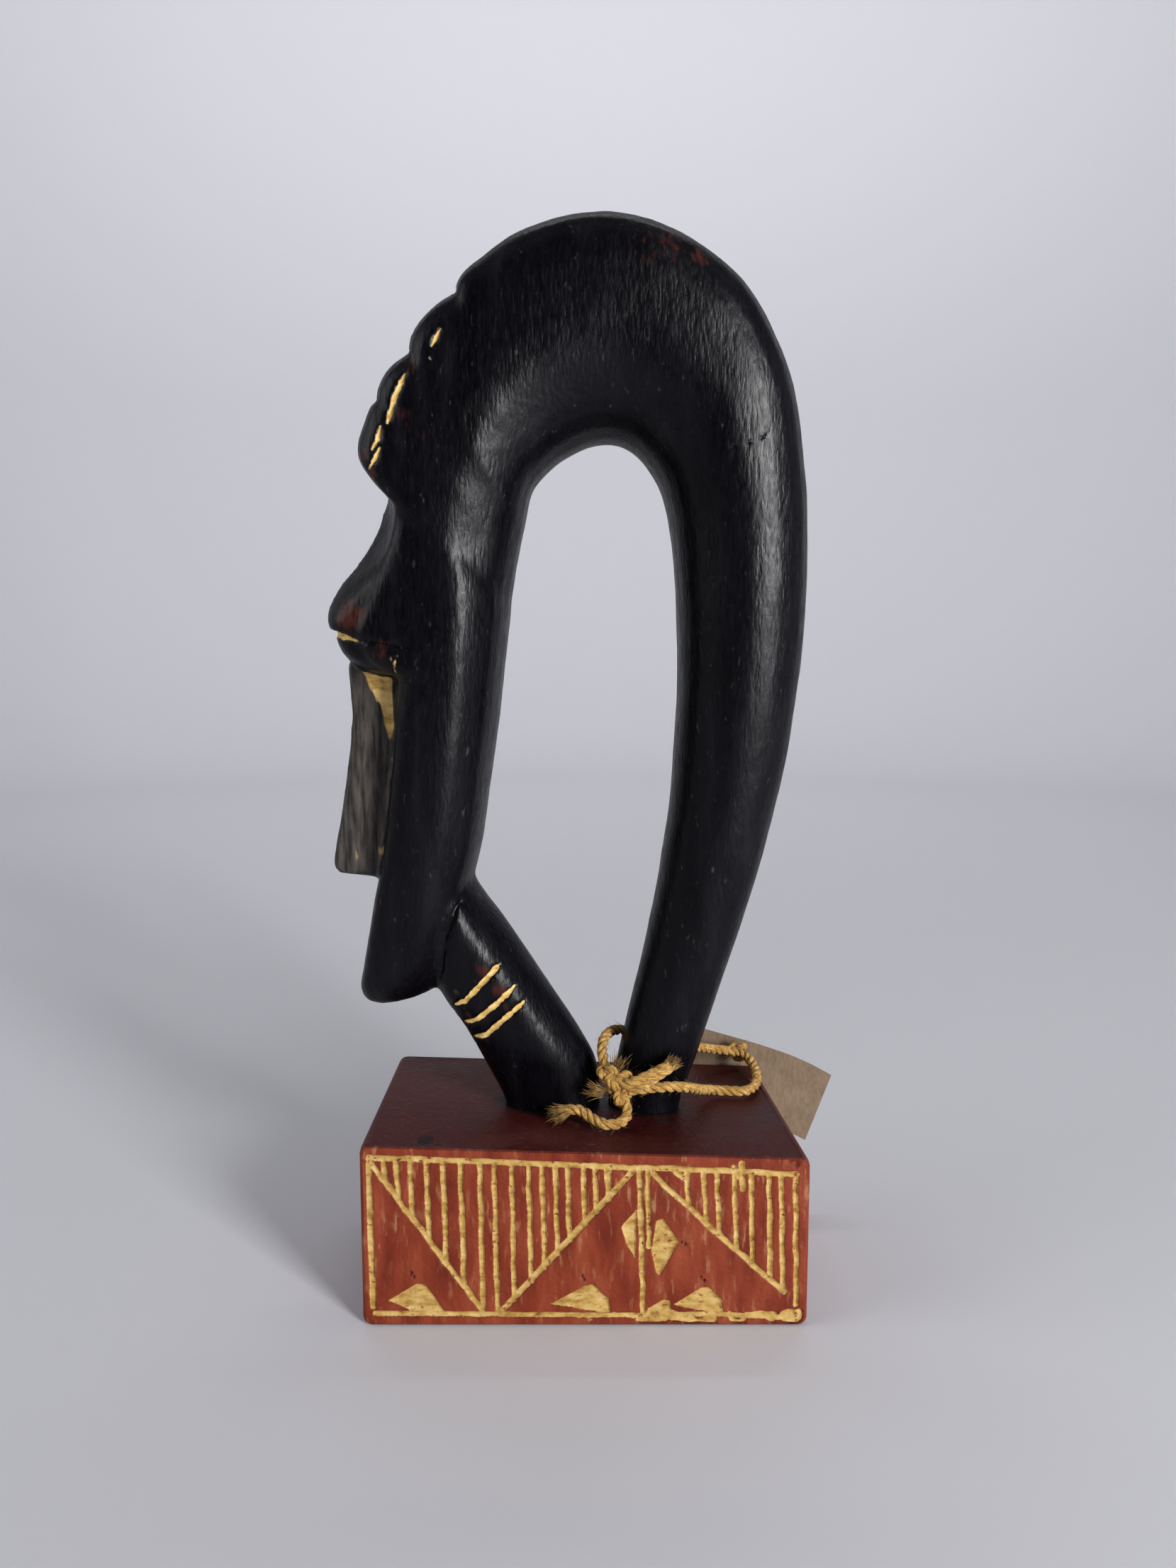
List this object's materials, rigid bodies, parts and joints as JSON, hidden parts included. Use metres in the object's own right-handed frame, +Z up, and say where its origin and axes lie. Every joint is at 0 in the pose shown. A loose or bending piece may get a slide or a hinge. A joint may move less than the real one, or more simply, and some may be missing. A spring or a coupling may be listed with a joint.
{
  "type": "carved profile head on painted block",
  "caption": "Stylised dark wooden head in profile whose crest loops over to a patterned painted block, with a string and paper tag.",
  "frame": {"origin": "centre of the block's flat underside", "axes": "+Z up along the carving, +X away from the carved face towards the crest foot, -Y towards the patterned side of the block"},
  "size_m": [0.1951, 0.0979, 0.3803],
  "materials": {
    "painted_wood": "brick-red paint, satin, with incised yellow pattern",
    "black_wood": "black stained and waxed wood with worn reddish edges",
    "jute": "three-ply jute twine, hairy",
    "kraft_paper": "plain brown kraft card"
  },
  "bodies": {
    "root": {"painted_block": "painted_wood", "carved_head_and_loop": "black_wood", "twine_main_knot": "jute", "twine_tag_knot": "jute", "twine_front_strand": "jute", "twine_back_strand": "jute", "twine_long_tail": "jute", "twine_short_tail": "jute"},
    "tag": {"paper_tag": "kraft_paper"}
  },
  "joints": [
    {"name": "tag_swing", "type": "hinge", "parent": "root", "child": "tag", "pos_m": [0.0633, 0.0486, 0.06581], "axis": [0, 1, 0], "range_deg": [-20, 50]}
  ]
}
